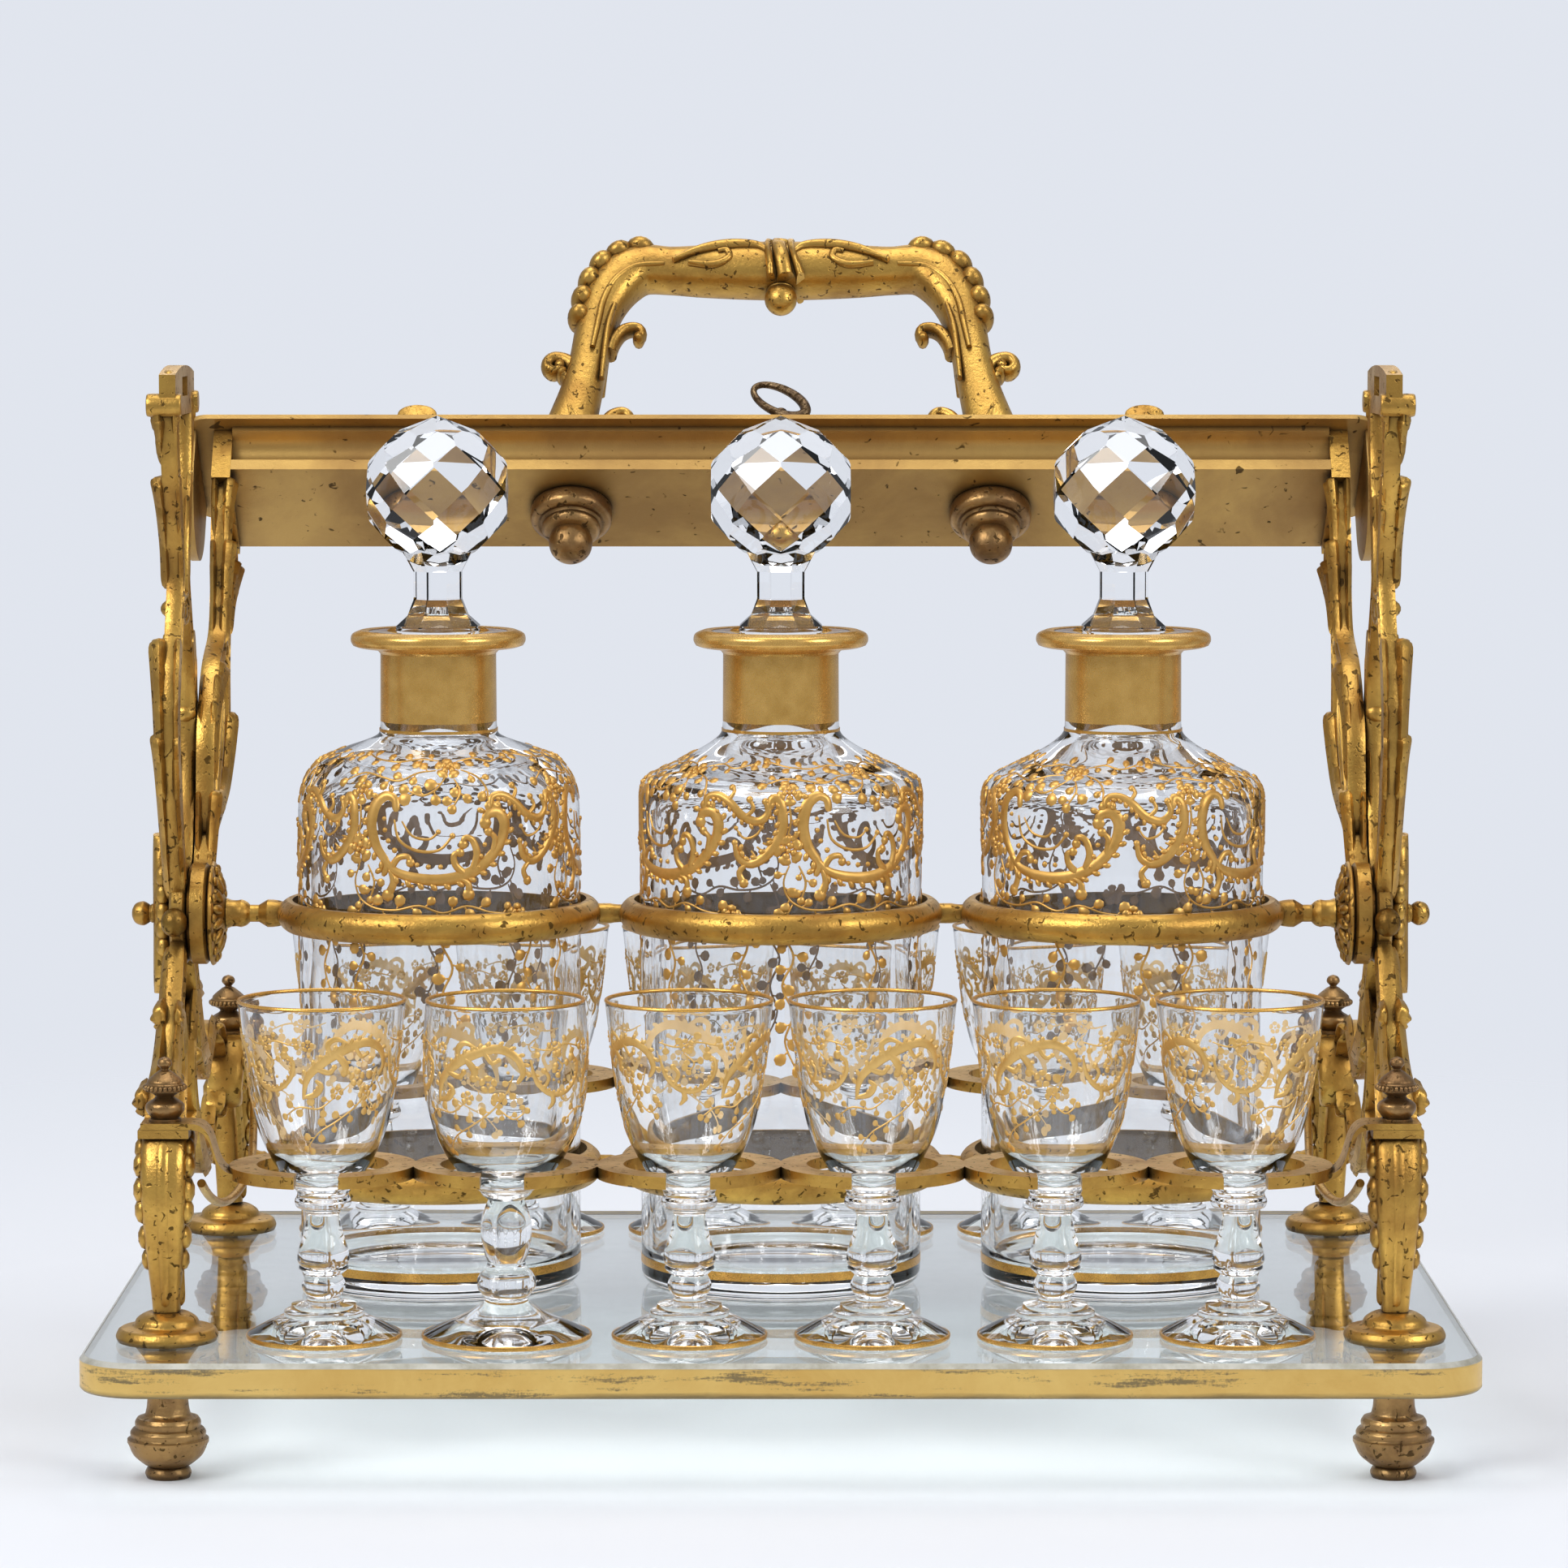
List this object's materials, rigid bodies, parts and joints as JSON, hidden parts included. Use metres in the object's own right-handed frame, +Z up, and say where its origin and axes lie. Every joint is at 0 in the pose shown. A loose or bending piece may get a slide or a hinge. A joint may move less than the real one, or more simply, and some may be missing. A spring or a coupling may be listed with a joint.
{
  "type": "tantalus",
  "caption": "Gilt brass and crystal tantalus: a glass tray with pierced side frames, ringed decanters, forked racks of stemmed glasses and a tilting gate with a handle and lock.",
  "frame": {"origin": "centre of the bounding box on the table, under the row of decanters and the leaning gate", "axes": "+X to the viewer's right along the row of decanters, +Y to the back, +Z up"},
  "size_m": [0.4, 0.2976, 0.3584],
  "materials": {
    "gilt_brass": "old gilding, worn and dark in the hollows",
    "satin_brass": "brownish satin brass with fine pits",
    "bronze_turnings": "brown patinated bronze",
    "key_bronze": "dark brown bronze",
    "lock_steel": "plain filed steel",
    "tray_glass": "thick plate glass with a gold-leafed bevelled edge",
    "decanter_crystal": "clear crystal with raised gilding",
    "stopper_crystal": "clear crystal cut in diamond facets",
    "small_glass": "clear crystal with a gilt rim and gilding"
  },
  "bodies": {
    "stand": {"base_plate": "tray_glass", "bun_feet": "bronze_turnings", "leg_flanges": "gilt_brass", "leg_studs": "lock_steel", "leg_finials": "bronze_turnings", "right_side_frame": "gilt_brass", "left_side_frame": "gilt_brass", "right_rosette": "gilt_brass", "left_rosette": "gilt_brass", "right_pivot_pin": "gilt_brass", "left_pivot_pin": "gilt_brass", "right_outer_boss": "gilt_brass", "left_outer_boss": "gilt_brass", "upper_rings": "gilt_brass", "lower_rings": "gilt_brass", "lower_ring_stays": "gilt_brass", "front_glass_holder": "gilt_brass", "rear_glass_holder": "gilt_brass"},
    "gate": {"left_gate_arm": "gilt_brass", "right_gate_arm": "gilt_brass", "bar_body": "satin_brass", "bar_underplate": "satin_brass", "right_end_plate": "satin_brass", "left_end_plate": "satin_brass", "bar_top_plate": "satin_brass", "handle": "gilt_brass", "acorn_nuts": "bronze_turnings", "handle_studs": "lock_steel", "bar_tabs": "gilt_brass", "lock_case": "lock_steel", "lock_escutcheon": "gilt_brass"},
    "key": {"key": "key_bronze"},
    "left_bolt": {"left_bolt": "lock_steel"},
    "right_bolt": {"right_bolt": "lock_steel"},
    "left_decanter": {"left_decanter": "decanter_crystal"},
    "centre_decanter": {"centre_decanter": "decanter_crystal"},
    "right_decanter": {"right_decanter": "decanter_crystal"},
    "left_stopper": {"left_stopper": "stopper_crystal"},
    "centre_stopper": {"centre_stopper": "stopper_crystal"},
    "right_stopper": {"right_stopper": "stopper_crystal"},
    "front_glass_1": {"front_glass_1": "small_glass"},
    "front_glass_2": {"front_glass_2": "small_glass"},
    "front_glass_3": {"front_glass_3": "small_glass"},
    "front_glass_4": {"front_glass_4": "small_glass"},
    "front_glass_5": {"front_glass_5": "small_glass"},
    "front_glass_6": {"front_glass_6": "small_glass"},
    "rear_glass_1": {"rear_glass_1": "small_glass"},
    "rear_glass_2": {"rear_glass_2": "small_glass"},
    "rear_glass_3": {"rear_glass_3": "small_glass"},
    "rear_glass_4": {"rear_glass_4": "small_glass"},
    "rear_glass_5": {"rear_glass_5": "small_glass"},
    "rear_glass_6": {"rear_glass_6": "small_glass"}
  },
  "joints": [
    {"name": "gate_tilt", "type": "hinge", "parent": "stand", "child": "gate", "pos_m": [0, -0.01281, 0.153], "axis": [1, 0, 0], "range_deg": [0, 38]},
    {"name": "key_turn", "type": "hinge", "parent": "gate", "child": "key", "pos_m": [0, 0.09056, 0.28531], "axis": [0, 0.6157, 0.788], "range_deg": [0, 180]},
    {"name": "left_bolt_throw", "type": "slide", "parent": "gate", "child": "left_bolt", "axis": [-1, 0, 0], "range_m": [0, 0.0052]},
    {"name": "right_bolt_throw", "type": "slide", "parent": "gate", "child": "right_bolt", "axis": [1, 0, 0], "range_m": [0, 0.0052]},
    {"name": "left_decanter_lift", "type": "slide", "parent": "stand", "child": "left_decanter", "axis": [0, 0, -1], "range_m": [-0.125, 0]},
    {"name": "left_stopper_lift", "type": "slide", "parent": "left_decanter", "child": "left_stopper", "axis": [0, 0, -1], "range_m": [-0.03, 0]},
    {"name": "centre_decanter_lift", "type": "slide", "parent": "stand", "child": "centre_decanter", "axis": [0, 0, -1], "range_m": [-0.125, 0]},
    {"name": "centre_stopper_lift", "type": "slide", "parent": "centre_decanter", "child": "centre_stopper", "axis": [0, 0, -1], "range_m": [-0.03, 0]},
    {"name": "right_decanter_lift", "type": "slide", "parent": "stand", "child": "right_decanter", "axis": [0, 0, -1], "range_m": [-0.125, 0]},
    {"name": "right_stopper_lift", "type": "slide", "parent": "right_decanter", "child": "right_stopper", "axis": [0, 0, -1], "range_m": [-0.03, 0]},
    {"name": "front_glass_1_lift", "type": "slide", "parent": "stand", "child": "front_glass_1", "axis": [0, 0, -1], "range_m": [-0.01342, 0]},
    {"name": "front_glass_2_lift", "type": "slide", "parent": "stand", "child": "front_glass_2", "axis": [0, 0, -1], "range_m": [-0.01342, 0]},
    {"name": "front_glass_3_lift", "type": "slide", "parent": "stand", "child": "front_glass_3", "axis": [0, 0, -1], "range_m": [-0.01342, 0]},
    {"name": "front_glass_4_lift", "type": "slide", "parent": "stand", "child": "front_glass_4", "axis": [0, 0, -1], "range_m": [-0.01342, 0]},
    {"name": "front_glass_5_lift", "type": "slide", "parent": "stand", "child": "front_glass_5", "axis": [0, 0, -1], "range_m": [-0.01342, 0]},
    {"name": "front_glass_6_lift", "type": "slide", "parent": "stand", "child": "front_glass_6", "axis": [0, 0, -1], "range_m": [-0.01342, 0]},
    {"name": "rear_glass_1_lift", "type": "slide", "parent": "stand", "child": "rear_glass_1", "axis": [0, 0, -1], "range_m": [-0.01342, 0]},
    {"name": "rear_glass_2_lift", "type": "slide", "parent": "stand", "child": "rear_glass_2", "axis": [0, 0, -1], "range_m": [-0.01342, 0]},
    {"name": "rear_glass_3_lift", "type": "slide", "parent": "stand", "child": "rear_glass_3", "axis": [0, 0, -1], "range_m": [-0.01342, 0]},
    {"name": "rear_glass_4_lift", "type": "slide", "parent": "stand", "child": "rear_glass_4", "axis": [0, 0, -1], "range_m": [-0.01342, 0]},
    {"name": "rear_glass_5_lift", "type": "slide", "parent": "stand", "child": "rear_glass_5", "axis": [0, 0, -1], "range_m": [-0.01342, 0]},
    {"name": "rear_glass_6_lift", "type": "slide", "parent": "stand", "child": "rear_glass_6", "axis": [0, 0, -1], "range_m": [-0.01342, 0]}
  ],
  "couplings": [
    {"joint": "key_turn", "follows": "left_bolt_throw", "rad_per_m": 604.15},
    {"joint": "right_bolt_throw", "follows": "left_bolt_throw", "ratio": 1}
  ]
}
